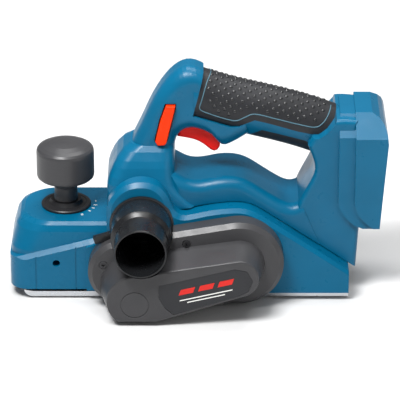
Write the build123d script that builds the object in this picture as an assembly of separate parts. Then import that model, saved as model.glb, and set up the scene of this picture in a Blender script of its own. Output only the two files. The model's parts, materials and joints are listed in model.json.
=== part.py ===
from build123d import *
import math
import os

# Cordless electric hand planer, 82 mm cut, built as an assembly of separate pieces.
#
# Millimetres, +Z up, +X towards the rear of the tool, -Y is the belt side, +Y the rebate side.
# Shapes are drawn with the cutter drum's axis above X = 0 and shifted by SHIFT_X when written,
# which puts the origin at the middle of the rear sole's running face.

os.makedirs("parts", exist_ok=True)

# ------------------------------------------------------------------ driving dimensions
CUT_HALF = 82.0 / 2     # half the cutter width
SOLE_HALF = 41.3        # half width of both soles
REAR_SOLE_T = 5.0
FRONT_SOLE_T = 4.4
SIDE_NEAR = -46.0       # belt-side face of the base
SIDE_FAR = 43.0         # rebate-side face of the base
FRONT_HALF = 43.0       # half width of the nose
DECK_Z = 63.5           # deck that carries the depth knob
NOSE_X = -102.6
REAR_X = 173.2
MOUTH_X0, MOUTH_X1 = -16.9, 15.4    # cutter mouth between the two soles
TOWER_X = -23.2         # front face of the upper housing
OUT = 60.0              # Y reach of cuts that run out through the sides of the base
SHIFT_X = -(MOUTH_X1 + REAR_X) / 2

DRUM_Z = 21.0           # drum axis height
DRUM_R = 19.5
TIP_R = DRUM_Z          # the blade tips reach the sole plane
CHAMBER_R = 23.0
CAN_R = 24.0            # motor can
FAN_R = 31.0
KNOB_X = -57.5          # depth knob axis

# axes parallel to Y, as (x, z)
DRUM = (0, DRUM_Z)
MOTOR = MOT_X, MOT_Z = 83.5, 40.0
PORT = PORT_X, PORT_Z = 5.1, 66.0       # chip duct
FENCE_HOLE = (-64.5, 30.4)
TRIGGER_PIN = PIN_X, PIN_Z = 41.5, 141.0
FOOT_PIN = FOOT_X, FOOT_Z = 153.2, 10.0

TUBE_R = 20.9           # chip ejector
TUBE_BORE = 19.6
COLLAR_R = 24.3
EJECTOR_MOUTH_Y = -100.0

COVER_Y0 = -46.2        # belt cover rim, inner edge
COVER_Y1 = -63.0        # belt cover flange face
COVER_Y2 = -92.0        # belt cover boss face

WALL = 2.8              # shell wall of the grip
GRIP_A, GRIP_B = 22.0, 19.3   # grip section half height and half width
SOFT_T = 1.8            # thickness of the soft grip skin

PULLEY_Y0, PULLEY_Y1 = -82.0, -64.0
DRUM_PULLEY_R = 14.2
MOTOR_PULLEY_R = 9.5
FLANGE = 1.6            # pulley flange, both its height and its width

# screw places: (x, z) on the sides, (x, y) under the sole
COVER_SCREWS = [(-25.7, 38.7), (41.4, 57.5)]
BEARING_SCREWS = [(-31.0, 36.0), (30.5, 36.0), (27.0, 16.0)]
SOLE_SCREWS = [(24.5, -30), (24.5, 30), (166, -30), (166, 30)]
# x, z, y of the housing surface over the head, half length of the post
HOUSE_SCREWS = [(-12.0, 97.0, 31.6, 30), (42.0, 176.5, 17.6, 16), (150.0, 121.0, 29.5, 30),
                (157.0, 66.0, 29.5, 30), (118.0, 68.0, 30.5, 30)]
CLAMP_SCREW_YS = (-27, 0, 27)
CONTACT_YS = (-10.5, -3.5, 3.5, 10.5)
SHRINK = (1.0, 0.75, 0.5, 0.3)          # fillet radii tried, as parts of the wanted one
MIN_VOLUME = 0.05                       # boolean crumbs below this are not written


# ------------------------------------------------------------------ helpers
def plane_y(y):
    """A plane at y whose local axes are world X and Z and whose normal is -Y."""
    return Plane(origin=(0, y, 0), x_dir=(1, 0, 0), z_dir=(0, -1, 0))


def prism(points, y0, y1):
    """Straight-sided (x, z) outline between y0 and y1."""
    return extrude(plane_y(y1) * Polygon(*points, align=None), y1 - y0, dir=(0, -1, 0))


def mixed_prism(path, y0, y1):
    """Prism of a closed path: a point is reached by a line, a list of points by a spline."""
    edges = []
    at = path[0]
    for step in path[1:] + path[:1]:
        if isinstance(step, list):
            edges.append(Spline(at, *step))
            at = step[-1]
        else:
            edges.append(Line(at, step))
            at = step
    return extrude(plane_y(y1) * make_face(edges), y1 - y0, dir=(0, -1, 0))


def yz_prism(points, x0, x1):
    plane = Plane(origin=(x0, 0, 0), x_dir=(0, 1, 0), z_dir=(1, 0, 0))
    return extrude(plane * Polygon(*points, align=None), x1 - x0, dir=(1, 0, 0))


def edges_at(body, y):
    """Edges lying wholly in the plane at y."""
    return [e for e in body.edges() if abs(e.bounding_box().min.Y - y) < 1e-3
            and abs(e.bounding_box().max.Y - y) < 1e-3]


def round_edges(body, ends, radii, test=lambda middle: True, op=fillet):
    """Rounds or bevels the edges at each y in ends whose midpoint passes the test."""
    for y in ends:
        for radius in radii:
            edges = [e for e in edges_at(body, y) if test(e @ 0.5)]
            # a radius too large for the outline raises or gives a broken solid: try the next
            try:
                new = op(edges, radius)
                if (new.is_valid and abs(new.volume) > 0.5 * abs(body.volume)
                        and len(new.solids()) == 1):
                    body = new
                    break
            except Exception:
                continue
    return body


def pillow(points, y0, y1, radius, ends=None):
    """A prism whose end edges are rounded, at both ends unless told otherwise."""
    return round_edges(prism(points, y0, y1), ends or (y0, y1), [radius * k for k in SHRINK])


def rod_y(x, z, radius, y0, y1):
    return extrude(plane_y(y1) * Pos(x, z) * Circle(radius), y1 - y0)


def ring_y(x, z, outer, inner, y0, y1):
    return extrude(plane_y(y1) * Pos(x, z) * (Circle(outer) - Circle(inner)), y1 - y0)


def rod_z(x, y, radius, z0, z1):
    return extrude(Plane.XY.offset(z0) * Pos(x, y) * Circle(radius), z1 - z0)


def box(x0, x1, y0, y1, z0, z1):
    return Pos((x0 + x1) / 2, (y0 + y1) / 2, (z0 + z1) / 2) * Box(x1 - x0, y1 - y0, z1 - z0)


def span(side, near, far, middle=0):
    """The interval near..far from the middle, on the side given by -1 or 1, low end first."""
    return sorted((middle + side * near, middle + side * far))


def join(shapes):
    total = shapes[0]
    for shape in shapes[1:]:
        total = total + shape
    return total


def obround(c0, r0, c1, r1, y):
    """Face at y bounded by two circles joined by their outer tangents."""
    (x0, z0), (x1, z1) = c0, c1
    base_angle = math.atan2(z1 - z0, x1 - x0)
    lean = math.asin((r0 - r1) / math.hypot(x1 - x0, z1 - z0))
    up = base_angle + math.pi / 2 - lean
    down = base_angle - math.pi / 2 + lean

    def at(c, r, angle):
        return (c[0] + r * math.cos(angle), c[1] + r * math.sin(angle))

    low1, tip1, high1 = at(c1, r1, down), at(c1, r1, base_angle), at(c1, r1, up)
    high0, tip0, low0 = at(c0, r0, up), at(c0, r0, base_angle + math.pi), at(c0, r0, down)
    return plane_y(y) * make_face([ThreePointArc(low1, tip1, high1), Line(high1, high0),
                                   ThreePointArc(high0, tip0, low0), Line(low0, low1)])


def obround_prism(c0, r0, c1, r1, y0, y1):
    return extrude(obround(c0, r0, c1, r1, y1), y1 - y0, dir=(0, -1, 0))


def arc_points(cx, cz, radius, start, end, steps):
    angles = [math.radians(start + (end - start) * i / steps) for i in range(steps + 1)]
    return [(cx + radius * math.cos(a), cz + radius * math.sin(a)) for a in angles]


def revolve_y(points, x, z):
    """Revolves (radius, y) points about the Y-parallel axis through (x, z)."""
    plane = Plane(origin=(x, 0, z), x_dir=(1, 0, 0), z_dir=(0, 0, 1))
    return revolve(plane * Polygon(*points, align=None), Axis((x, 0, z), (0, 1, 0)), 360)


def revolve_knob(points):
    """Revolves (radius, z) points about the depth knob's vertical axis."""
    plane = Plane(origin=(KNOB_X, 0, 0), x_dir=(1, 0, 0), z_dir=(0, -1, 0))
    return revolve(plane * Polygon(*points, align=None), Axis((KNOB_X, 0, 0), (0, 0, 1)), 360)


def coil(place, pitch, height, radius, wire_r):
    """Coil spring along the local Z axis of the place."""
    path = place * Helix(pitch=pitch, height=height, radius=radius)
    section = Plane(origin=path @ 0, z_dir=path % 0) * Circle(wire_r)
    return sweep(section, path=path, is_frenet=True)


def main_solid(shape):
    return max(shape.solids(), key=lambda solid: solid.volume)


def piece(build):
    """Decorator: builds the piece and writes it under the function's name."""
    name = build.__name__
    solids = [Pos(SHIFT_X, 0, 0) * s for s in build().solids() if s.volume > MIN_VOLUME]
    out = Compound(children=solids) if len(solids) > 1 else solids[0]
    out.label = name
    export_step(out, f"parts/{name}.step")
    return build


# ------------------------------------------------------------------ wires
# pack terminals to the switch through the grip: x, z of the pair at y = -6 and 6
SUPPLY_RUN = [(176.0, 118), (169.6, 127), (158, 136.6), (140, 143), (118, 148.6), (98, 155),
              (84, 162), (74.4, 164.5)]
SUPPLY_WIRES = [[(x, y, z) for x, z in SUPPLY_RUN] for y in (-6, 6)]
# switch to motor through the front arm: x, y, z
MOTOR_WIRES = [
    [(37.4, -7, 164), (31, -8.6, 164.6), (25.0, -8.6, 162.8), (14.0, -8.6, 141), (8.0, -8, 116),
     (24, 0, 100), (34, 4, 93.6), (58, 14, 88.4), (73, 20.5, 86), (80, 25, 80), (83, 30, 65.2)],
    [(37.4, 7, 164), (31, 8.6, 164.6), (25.0, 8.6, 162.8), (14.0, 8.6, 141), (8.0, 12, 116),
     (24, 14, 100), (34, 16, 93.0), (58, 19, 88.8), (76, 22.5, 86), (84, 30, 79),
     (88, 34.5, 65.2)],
]


def rod_between(start, end, radius):
    along = Vector(*end) - Vector(*start)
    plane = Plane(origin=start, z_dir=(along.X, along.Y, along.Z))
    return extrude(plane * Circle(radius), along.length)


def wire(points, radius=1.1):
    """Straight lengths of round wire with a ball at each bend."""
    out = rod_between(points[0], points[1], radius)
    for bend, end in zip(points[1:], points[2:]):
        out += Pos(*bend) * Sphere(radius)
        out += rod_between(bend, end, radius)
    return out


@piece
def wiring():
    return Compound(children=[wire(run).solid() for run in SUPPLY_WIRES + MOTOR_WIRES])


# ------------------------------------------------------------------ shared outlines, (x, z)
# ridge of the base: the line where the wide base meets the narrower upper housing
RIDGE = [(29.0, 71.0), (36, 74.8), (45, 75.3), (60, 78.2), (74, 80.0), (85, 80.2), (94, 78.1),
         (103, 73.1), (125, 58.2), (150, 41.0), (175.5, 23.2)]
BASE_TOP = [(-130, DECK_Z), (TOWER_X, DECK_Z), (TOWER_X, PORT_Z), (29.0, PORT_Z),
            *RIDGE, (230, -18)]
# everything above the base, with a 0.1 parting gap
ABOVE_BASE = [(x, z + 0.1) for x, z in BASE_TOP[:-2]] + [
    (REAR_X + 0.2, 24.7), (REAR_X + 0.2, -18), (230, -18), (230, 260), (-130, 260)]
# shoulder: raised side zone round the chip outlet and over the belt cover
SHOULDER = [
    (-40, 7.2), (-40, 46), (TOWER_X, 52), (TOWER_X, 76),
    [(-19.5, 88.5), (-9.6, 98.5), (5.1, 102.6), (19.8, 98.0), (27.0, 88.0), (31.8, 77.8),
     (38, 73.8), (46, 74.3), (60, 77.4), (74, 79.2), (85, 79.4), (94, 77.3), (103, 72.3),
     (125, 57.4), (150, 40.2), (REAR_X, 24.0)],
    (REAR_X, 5.05), (0, 5.05), (0, 7.2)]

# shared by the base and the upper housing, which split it along the ridge
shoulder = round_edges(mixed_prism(SHOULDER, SIDE_NEAR, SIDE_FAR), (SIDE_NEAR, SIDE_FAR),
                       (3.6, 2.6, 1.6), lambda p: p.Z > 55, chamfer)


# ------------------------------------------------------------------ base body
NOSE_PROFILE = [(NOSE_X, 7.2), (NOSE_X, 33.5), (-38, 50.5), (-10, 57), (-10, 7.2)]
CHIP_THROAT = [(-21, 30), (-17, 62), (-12, 70), (24, 70), (24, 62), (16, 36)]
REAR_CAVITY = [(112, 4), (112, 58), (125, 49.5), (150, 32.5), (160, 25.8), (160, 4)]
FOOT_SLOT_X, FOOT_SLOT_HALF = 146.5, 8.6


def nose_loft(rows):
    """Ruled loft through rounded rectangles; rows are front x, half width, corner radius, z."""
    rear_x = 20
    return loft([Plane.XY.offset(z) * Pos((x + rear_x) / 2, 0)
                 * RectangleRounded(rear_x - x, 2 * half, corner)
                 for x, half, corner, z in rows], ruled=True)


def base_blank():
    plan_end = 250
    plan = extrude(Plane.XY.offset(-5) * Pos((NOSE_X + plan_end) / 2, 0)
                   * RectangleRounded(plan_end - NOSE_X, 2 * FRONT_HALF, 15), 140)
    nose_low = round_edges(prism(NOSE_PROFILE, -FRONT_HALF, FRONT_HALF),
                           (-FRONT_HALF, FRONT_HALF), (3.4, 2.4),
                           lambda p: p.Z > 38, chamfer) & plan
    nose_up = nose_loft([(NOSE_X + 0.6, 40.6, 17, 20), (NOSE_X + 1.0, 39.6, 19, 40),
                         (-97.5, 37.2, 24, 56)])
    nose_up += nose_loft([(-97.5, 37.2, 24, 56), (-94.5, 35.4, 25, 61),
                          (-91.0, 33.0, 26, DECK_Z)])
    base = nose_low + nose_up + shoulder
    return base & prism(BASE_TOP + [(230, -40), (-130, -40)], -OUT, OUT)


def cut_cavities(base):
    base -= rod_y(*DRUM, CHAMBER_R, -41.5, OUT)         # drum chamber, open to the rebate side
    base -= box(MOUTH_X0, MOUTH_X1, -41.5, OUT, -5, 20)
    base -= prism(CHIP_THROAT, -38, 38)
    base -= rod_y(*PORT, 26.0, -OUT, OUT)               # seat of the chip duct
    base -= rod_y(*MOTOR, CAN_R + 0.3, -OUT, OUT)       # motor tunnel
    base -= box(-200, 200, 41.5, OUT, -5, 9.0)          # rebate side stays flush below 9 mm
    # nose cavity, open below, for the front shoe's guide and spring
    cavity = nose_loft([(NOSE_X + 4, 38.5, 12, 6.9), (NOSE_X + 5, 35.5, 15, 40),
                        (-88.5, 29.5, 22, DECK_Z - 4.2)])
    cavity = cavity & box(-120, -27.5, -50, 50, 0, 80)
    cavity -= rod_z(KNOB_X, 0, 18.0, 0, 80)
    base -= cavity
    base -= rod_z(KNOB_X, 0, 14.08, 0, 38.0)            # guide bore
    base -= rod_z(KNOB_X, 0, 8.3, 30, 80)               # knob hub bore
    base -= rod_z(KNOB_X, 0, 12.6, 38.0, 56.5)          # room for the retaining ring
    base -= prism(REAR_CAVITY, -40.5, 38.0)             # open below, closed by the rear sole
    base -= box(34, 56, -38, 36, 4, 56)                 # weight saving pocket behind the drum
    return base


def add_mounts(base):
    # belt-side bearing boss
    base += rod_y(*DRUM, 15.6, -54.0, -41.5)
    base -= rod_y(*DRUM, 9.0, -OUT, -41.0)
    base -= rod_y(*DRUM, 13.0, -OUT, -45.8)
    base -= rod_y(*MOTOR, 26.5, -OUT, -44.0)            # belt-side recess round the motor
    # parking foot slot, with lugs that carry its pin
    base -= box(FOOT_SLOT_X, 180, -FOOT_SLOT_HALF, FOOT_SLOT_HALF, 4, 16.0)
    for side in (-1, 1):
        base += box(149.2, 158.0, *span(side, FOOT_SLOT_HALF, 12.4), 5.05, 27)
    base -= rod_y(*FOOT_PIN, 1.5, -12.5, 12.5)
    # fence mounting holes in their bosses
    for side in (-1, 1):
        base += rod_y(*FENCE_HOLE, 7.0, *span(side, 26, 42))
        base -= rod_y(*FENCE_HOLE, 3.0, *span(side, 28, OUT))
    return base


@piece
def base_body():
    base = add_mounts(cut_cavities(base_blank()))
    for x, z in COVER_SCREWS:
        base -= rod_y(x, z, 1.75, -OUT, -38)
    for x, y in SOLE_SCREWS:
        base -= rod_z(x, y, 1.9, 4, 17)
    for x, z in BEARING_SCREWS:
        base -= rod_y(x, z, 1.6, 32, OUT)
    # upright grooves on both sides of the nose
    for x in (-81.0, -48.5):
        for side in (-1, 1):
            base -= box(x - 0.5, x + 0.5, *span(side, 42.4, OUT), 0, 60)
    for run in MOTOR_WIRES:
        base -= wire(run[8:], 1.7)
    return main_solid(base)


# ------------------------------------------------------------------ upper housing
# front tower sections: z, front x, rear x, half width
TOWER = [(60, TOWER_X, 62, 33.5), (74, TOWER_X, 54, 33.5), (80, TOWER_X, 45.5, 33.4),
         (88, TOWER_X, 37.5, 33.2), (94, -22.8, 33.4, 32.6), (100, -21.2, 32.0, 31.2),
         (108, -18, 31.8, 28.6), (113.5, -15, 31.6, 26), (119.8, -10, 31.4, 22.2),
         (124, -4, 31.2, 18.6)]
# front arm stations: crest point, underside point
ARM = [((-9, 107), (31.6, 100)), ((-2.8, 123.6), (31.2, 114)), ((4.6, 139.5), (33.2, 127)),
       ((14.2, 160.8), (38.5, 133.8)), ((24.2, 176.6), (46, 136.0)), ((34.2, 186.2), (54, 134.2)),
       ((44.5, 189.2), (61.5, 130.0)), ((56.5, 184.4), (70.2, 121.0)),
       ((71, 172.5), (79.0, 123.5)), ((85, 163.0), (91, 131))]
# hump over the motor
HUMP = [
    (27, 60), (27, 104.5),
    [(33.5, 101.6), (43, 96.8), (55, 96.4), (66, 98.6), (77, 99.2), (87, 97.2), (101.4, 88.8),
     (114, 80.4), (126, 75.4), (134, 79)],
    (150, 40), (110, 50), (60, 60)]
# rear column under the grip
REAR = [
    (128, 60), (131, 74),
    [(135.5, 85), (141.5, 97), (144.8, 107.5), (143.0, 117), (139, 128)],
    (148, 143), [(156, 149.2), (167, 151), (178.5, 150)],
    (181.6, 60), (178.8, 13.3), (160, 13.3)]
# axis of the grip, (x, z), front to rear
GRIP_AXIS = [(30, 168.9), (50, 162.2), (75, 154.3), (92.4, 150.0), (117.8, 143.6),
             (134.2, 138.8), (150, 133.2), (168, 125.8)]
# battery foot: side outlines of its front and rear flange
FOOT_FRONT = [(165.8, 168), (163.9, 140), (163.9, 80), (166, 73), (171, 65.5), (177.5, 60),
              (184, 57.2), (196.2, 57.2), (196.2, 100), (181, 140), (181, 168)]
FOOT_REAR = [(177, 170), (177, 80), (179.5, 72), (184, 66), (192, 58.9), (197.6, 58.9),
             (203.2, 133), (202.4, 140.5), (200.2, 146.5), (196.5, 151), (190, 154.8),
             (184, 158), (181, 170)]
# soft grip zones, cut from the outer skin of the grip
SOFT = [(46.4, 149.4), (64, 143.8), (77.2, 139.8), (83.8, 140.4), (89.5, 143.5), (96.1, 146.7),
        (111.1, 142.8), (130, 137.0), (142.2, 134.4), (147.8, 134.6), (154.4, 139.4),
        (160.5, 146.5), (163.4, 156), (163.4, 175), (140, 200), (58.2, 200), (53.9, 180)]
UNDER = [(93.5, 131.8), (101.8, 137.4), (120.5, 132.6), (137, 128.2), (142.0, 125),
         (143.2, 116), (140, 100), (88, 120), (88.5, 128)]
# hollows of the housing
HUMP_HOLLOW = [(32, 60), (32, 95.5), (36, 95.0), (42, 92), (53, 91.4), (64, 94.2), (77, 95.5),
               (85, 94), (91, 90.6), (100, 84.6), (116, 74.2), (128, 69), (134, 60), (150, 40),
               (110, 55), (60, 60)]
REAR_HOLLOW = [(136.5, 66), (138.5, 82), (144, 94), (149.5, 107.5), (148.5, 116), (148.5, 127),
               (155, 131.5), (162, 137.5), (167.0, 143.5), (174, 143.5), (176.8, 60),
               (175.8, 30), (152, 45), (132, 62)]
SHOULDER_HOLLOW = [(-19.8, 55), (-19.8, 76), *arc_points(5.1, 78.2, 20.6, 160, 0, 12),
                   (26.5, 60)]
# openings
TRIGGER_SLOT = [(33.0, 112), (33.0, 130), (35.0, 142), (72.2, 142), (72.2, 112)]
LOCK_SLOT = [(24.2, 160.5), (33.3, 160.5), (32.9, 156.2), (26.0, 127.2), (24.0, 124.7),
             (17.8, 124.3), (15.2, 128.2), (19.5, 146.9)]
VENT = [(112, 70), (117, 66.6), (121, 71.6), (116, 75)]
VENT_COUNT, VENT_STEP_X, VENT_STEP_Z = 6, 6.2, -4.2


def tower_loft(rows, inset=0.0):
    return loft([Plane.XY.offset(z) * Pos((x0 + x1) / 2, 0)
                 * RectangleRounded(x1 - x0 - 2 * inset, 2 * (half - inset), 11 - inset)
                 for z, x0, x1, half in rows], ruled=True)


def smoothed(stations, steps=3):
    """Catmull-Rom stations between the given ones."""
    out = []
    for i in range(len(stations) - 1):
        near = [stations[max(i - 1, 0)], stations[i], stations[i + 1],
                stations[min(i + 2, len(stations) - 1)]]
        for k in range(steps):
            u = k / steps
            weights = (0.5 * (-u + 2 * u * u - u ** 3), 0.5 * (2 - 5 * u * u + 3 * u ** 3),
                       0.5 * (u + 4 * u * u - 3 * u ** 3), 0.5 * (u ** 3 - u * u))
            out.append(tuple(tuple(sum(weights[j] * near[j][end][axis] for j in range(4))
                                   for axis in range(2)) for end in range(2)))
    out.append(stations[-1])
    return out


def arm_section(crest, under, inset):
    """Rounded rectangle standing on the line from crest to underside."""
    (x0, z0), (x1, z1) = crest, under
    depth = math.hypot(x1 - x0, z1 - z0)
    plane = Plane(origin=((x0 + x1) / 2, 0, (z0 + z1) / 2), x_dir=(0, 1, 0),
                  z_dir=((z0 - z1) / depth, 0, (x1 - x0) / depth))
    return plane * RectangleRounded(36.4 - 2 * inset, depth - 2 * inset, 12.5 - inset)


def arm_loft(stations, inset=0.0):
    return loft([arm_section(crest, under, inset) for crest, under in smoothed(stations)],
                ruled=True)


def grip_sweep(inset=0.0):
    path = Spline(*[(x, 0, z) for x, z in GRIP_AXIS])
    plane = Plane(origin=path @ 0, x_dir=(0, 1, 0), z_dir=path % 0)
    return sweep(plane * Ellipse(GRIP_B - inset, GRIP_A - inset), path=path)


def grip_slice(x0, x1):
    return box(x0, x1, -30, 30, 90, 210)


def foot_flange(outline, half, z0, z1, bevel, x0, x1):
    """Flange of the battery foot: bevelled YZ section trimmed to its side outline."""
    section = [(-half, z0), (half, z0), (half, z1 - bevel), (half - bevel, z1),
               (-half + bevel, z1), (-half, z1 - bevel)]
    return yz_prism(section, x0, x1) & prism(outline, -50, 50)


def housing_outer():
    hump = round_edges(mixed_prism(HUMP, -30.5, 30.5), (-30.5, 30.5), (9.0, 7.0, 5.0, 3.0),
                       lambda p: p.Z > 82)
    rear = round_edges(mixed_prism(REAR, -29.5, 29.5), (-29.5, 29.5), [5.0 * k for k in SHRINK])
    return join([shoulder, tower_loft(TOWER), hump, arm_loft(ARM), rear,
                 foot_flange(FOOT_FRONT, 34.0, 52, 152.6, 15.0, 163.5, 197),
                 foot_flange(FOOT_REAR, 38.0, 56, 154.6, 16.7, 177, 204), grip_outer])


def housing_hollow():
    hollow = (tower_loft(TOWER[:-1], 3.4) + prism(HUMP_HOLLOW, -25.5, 25.5)
              + arm_loft(ARM[:-1], 3.2) + prism(REAR_HOLLOW, -26, 26))
    hollow += prism(SHOULDER_HOLLOW, -42.8, 39.8)
    hollow += grip_sweep(SOFT_T + WALL) & grip_slice(40, 160)
    return hollow


def cut_openings(house):
    # battery pocket with its rail groove, open below and behind
    house -= box(185.0, 215, -27.5, 27.5, 40, 137)
    house -= box(189.0, 194.0, -32.0, 32.0, 40, 134)
    house -= prism([(194, 30), (194, 140), (204, 140), (220, 140), (220, 30)], -29.5, 29.5)
    # soft grips; the strut is flatter than the grip, so the soft zone follows the grip there
    house -= soft
    house -= soft_zone - grip_sweep()
    house -= under
    house -= rod_y(*PORT, 26.0, -70, 70)
    house -= prism(TRIGGER_SLOT, -8.6, 8.6)
    for side in (-1, 1):                                # room for the ends of the trigger pin
        house -= box(36.6, 47.2, *span(side, 8.0, 11.3), 137.6, 146)
    house -= prism(LOCK_SLOT, -30, 30)
    # slanting row of vents on the rebate side
    for i in range(VENT_COUNT):
        house -= prism([(x + i * VENT_STEP_X, z + i * VENT_STEP_Z) for x, z in VENT], 24, 34)
    return house


def housing():
    hollow = housing_hollow()
    house = housing_outer() - prism(BASE_TOP + [(230, -60), (-130, -60)], -70, 70)
    house = house & prism(ABOVE_BASE, -70, 70)
    house -= hollow
    house = cut_openings(house)
    posts = join([rod_y(x, z, 4.2, -half, half) for x, z, _, half in HOUSE_SCREWS])
    house += posts & hollow
    for x, z, head_y, _ in HOUSE_SCREWS:
        house -= rod_y(x, z, 1.5, -12, 60)
        house -= rod_y(x, z, 3.2, head_y - 3.0, 60)
    for run in MOTOR_WIRES:
        house -= wire(run[4:], 1.75)
    for run in SUPPLY_WIRES:
        house -= wire(run[:5], 1.7)
    return house


def half_of(shape, side):
    """The part on one side of the centre plane, 0.03 clear of it."""
    return main_solid(shape & box(-150, 250, *span(side, 0.03, 80), -20, 260))


grip_outer = grip_sweep() & grip_slice(47, 164)
skin = grip_outer - (grip_sweep(SOFT_T) & grip_slice(30, 168))
soft_zone = prism(SOFT, -30, 30)
soft = (skin & soft_zone) & grip_slice(46, 164)
under = (skin & prism(UNDER, -30, 30)) & grip_slice(88, 144)
house = housing()


@piece
def housing_left():
    return half_of(house, -1)


@piece
def housing_right():
    return half_of(house, 1)


@piece
def grip_left():
    return half_of(soft, -1)


@piece
def grip_right():
    return half_of(soft, 1)


@piece
def grip_underside():
    return main_solid(under)


@piece
def housing_screws():
    screws = []
    for x, z, head_y, _ in HOUSE_SCREWS:
        head = (rod_y(x, z, 3.0, head_y - 3.0, head_y - 0.8)
                - rod_y(x, z, 1.3, head_y - 1.9, head_y))
        screws.append(head + rod_y(x, z, 1.45, -10, head_y - 3.0))
    return join(screws)


# ------------------------------------------------------------------ soles
HEAD_SEAT_Z = 2.4       # top of the sole screws' head seats
GROOVE_PITCH = 22.0     # chamfering V grooves


@piece
def rear_sole():
    sole = box(MOUTH_X1, REAR_X, -SOLE_HALF, SOLE_HALF, 0, REAR_SOLE_T)
    sole -= prism([(MOUTH_X1, 2.2), (MOUTH_X1, 8), (18.6, 8)], -60, 60)
    sole -= box(FOOT_SLOT_X, 200, -FOOT_SLOT_HALF, FOOT_SLOT_HALF, -1, 10)
    for x, y in SOLE_SCREWS:
        sole -= rod_z(x, y, 2.1, -1, 10)
        sole -= rod_z(x, y, 4.2, -1, HEAD_SEAT_Z)
    return sole


@piece
def sole_screws():
    return join([rod_z(x, y, 4.0, 0.5, HEAD_SEAT_Z) + rod_z(x, y, 1.85, HEAD_SEAT_Z, 16)
                 - rod_z(x, y, 1.6, 0, 1.6) for x, y in SOLE_SCREWS])


@piece
def front_sole():
    outline = [(MOUTH_X0, 0), (MOUTH_X0, 2.2), (-19.5, FRONT_SOLE_T), (-84, FRONT_SOLE_T),
               (-87.6, 5.1), (-90.4, 5.6), *arc_points(-84.5, 7.0, 7.0, 198, 270, 8)]
    sole = prism(outline, -SOLE_HALF, SOLE_HALF)
    # the middle groove is the widest and deepest: y, half width, apex z
    for y, half, apex in ((-GROOVE_PITCH, 3.4, 2.6), (0.0, 5.2, 3.4), (GROOVE_PITCH, 3.4, 2.6)):
        sole -= yz_prism([(y - half, -1), (y + half, -1), (y, apex)], -100, -10)
    guide = rod_z(KNOB_X, 0, 14.0, FRONT_SOLE_T - 0.5, 26.0)
    guide -= rod_z(KNOB_X, 0, 4.5, 0, 40)
    guide -= revolve_knob([(6.8, 12.0), (12.2, 12.0), (12.2, 30), (6.8, 30)])   # spring well
    sole -= rod_z(KNOB_X, 0, 4.5, 4.0, 40)
    sole += guide
    return main_solid(sole)


@piece
def shoe_stud():
    stud = rod_z(KNOB_X, 0, 4.5, 4.0, 27) + rod_z(KNOB_X, 0, 3.9, 27, 74)
    for i in range(14):                                 # ring grooves stand in for the thread
        z = 44 + i * 2.0
        stud -= revolve_knob([(3.55, z), (4.5, z - 0.45), (4.5, z + 0.45)])
    return stud


@piece
def shoe_spring():
    z0, z1, wire_r, turns = 12.1, 37.9, 0.8, 5
    height = (z1 - z0) - wire_r * 2
    return coil(Pos(KNOB_X, 0, z0 + wire_r), pitch=height / turns, height=height,
                radius=9.5, wire_r=wire_r)


# ------------------------------------------------------------------ depth knob
HUB_R = 8.2
STEM_R = 4.85           # upper part of the hub, inside the knob
STEM_TOP_Z = 79.0


@piece
def depth_knob():
    # radius, z
    return revolve_knob([
        (4.9, 64.0), (8.1, 64.0), (8.1, 69.6), (9.9, 69.6), (9.4, 73.5), (9.4, 80.5),
        (10.6, 83.0), (21.6, 88.6), (23.1, 90.0), (23.5, 91.8), (23.5, 111.6), (23.0, 113.8),
        (21.6, 115.4), (18.5, 117.0), (13.0, 118.8), (6.5, 119.8), (0, 120.1),
        (0, STEM_TOP_Z), (4.9, STEM_TOP_Z)])


@piece
def depth_scale_disc():
    return revolve_knob([
        (HUB_R, 63.7), (20.0, 63.7), (20.3, 64.2), (20.3, 65.3), (19.6, 66.0), (17.4, 66.0),
        (16.6, 65.6), (14.0, 66.4), (12.4, 69.4), (HUB_R, 69.4)])


@piece
def knob_threaded_hub():
    return revolve_knob([
        (4.0, 45.0), (HUB_R, 45.0), (HUB_R, 53.0), (7.2, 53.0), (7.2, 55.2), (HUB_R, 55.2),
        (HUB_R, 63.9), (STEM_R, 63.9), (STEM_R, STEM_TOP_Z), (4.0, STEM_TOP_Z)])


@piece
def knob_retaining_ring():
    ring = rod_z(KNOB_X, 0, 11.6, 53.1, 55.1) - rod_z(KNOB_X, 0, 7.25, 50, 60)
    return ring - box(KNOB_X, KNOB_X + 20, -3, 3, 50, 60)


# ------------------------------------------------------------------ cutter drum
SHAFT_R = 7.0
BLADE_TOP = DRUM_Z - 0.2
BLADE_LOW = DRUM_Z - 1.3
CLAMP_SCREW_Z = DRUM_Z + 3.4


def half_turn(shape):
    """The shape turned half round the drum's axis."""
    return Pos(0, 0, DRUM_Z) * Rot(0, 180, 0) * Pos(0, 0, -DRUM_Z) * shape


def clamp_cylinder(x, y, radius, length):
    return Pos(x, y, CLAMP_SCREW_Z) * Rot(0, 90, 0) * Cylinder(radius, length)


@piece
def cutter_drum():
    slot = prism([(-30, DRUM_Z - 1.4), (-9.0, DRUM_Z - 1.4), (-9.0, DRUM_Z + 7.5),
                  (-13, DRUM_Z + 7.5), (-30, DRUM_Z + 5.5)], -45, 45)
    drum = rod_y(*DRUM, DRUM_R, -CUT_HALF, CUT_HALF)
    drum -= slot
    drum -= half_turn(slot)
    drum -= rod_y(*DRUM, SHAFT_R, -50, 50)
    return drum


@piece
def planer_blades():
    blade = prism([(-TIP_R + 0.05, BLADE_LOW), (-TIP_R + 0.9, BLADE_TOP), (-9.6, BLADE_TOP),
                   (-9.6, BLADE_LOW)], -CUT_HALF, CUT_HALF)
    return blade + half_turn(blade)


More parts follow.
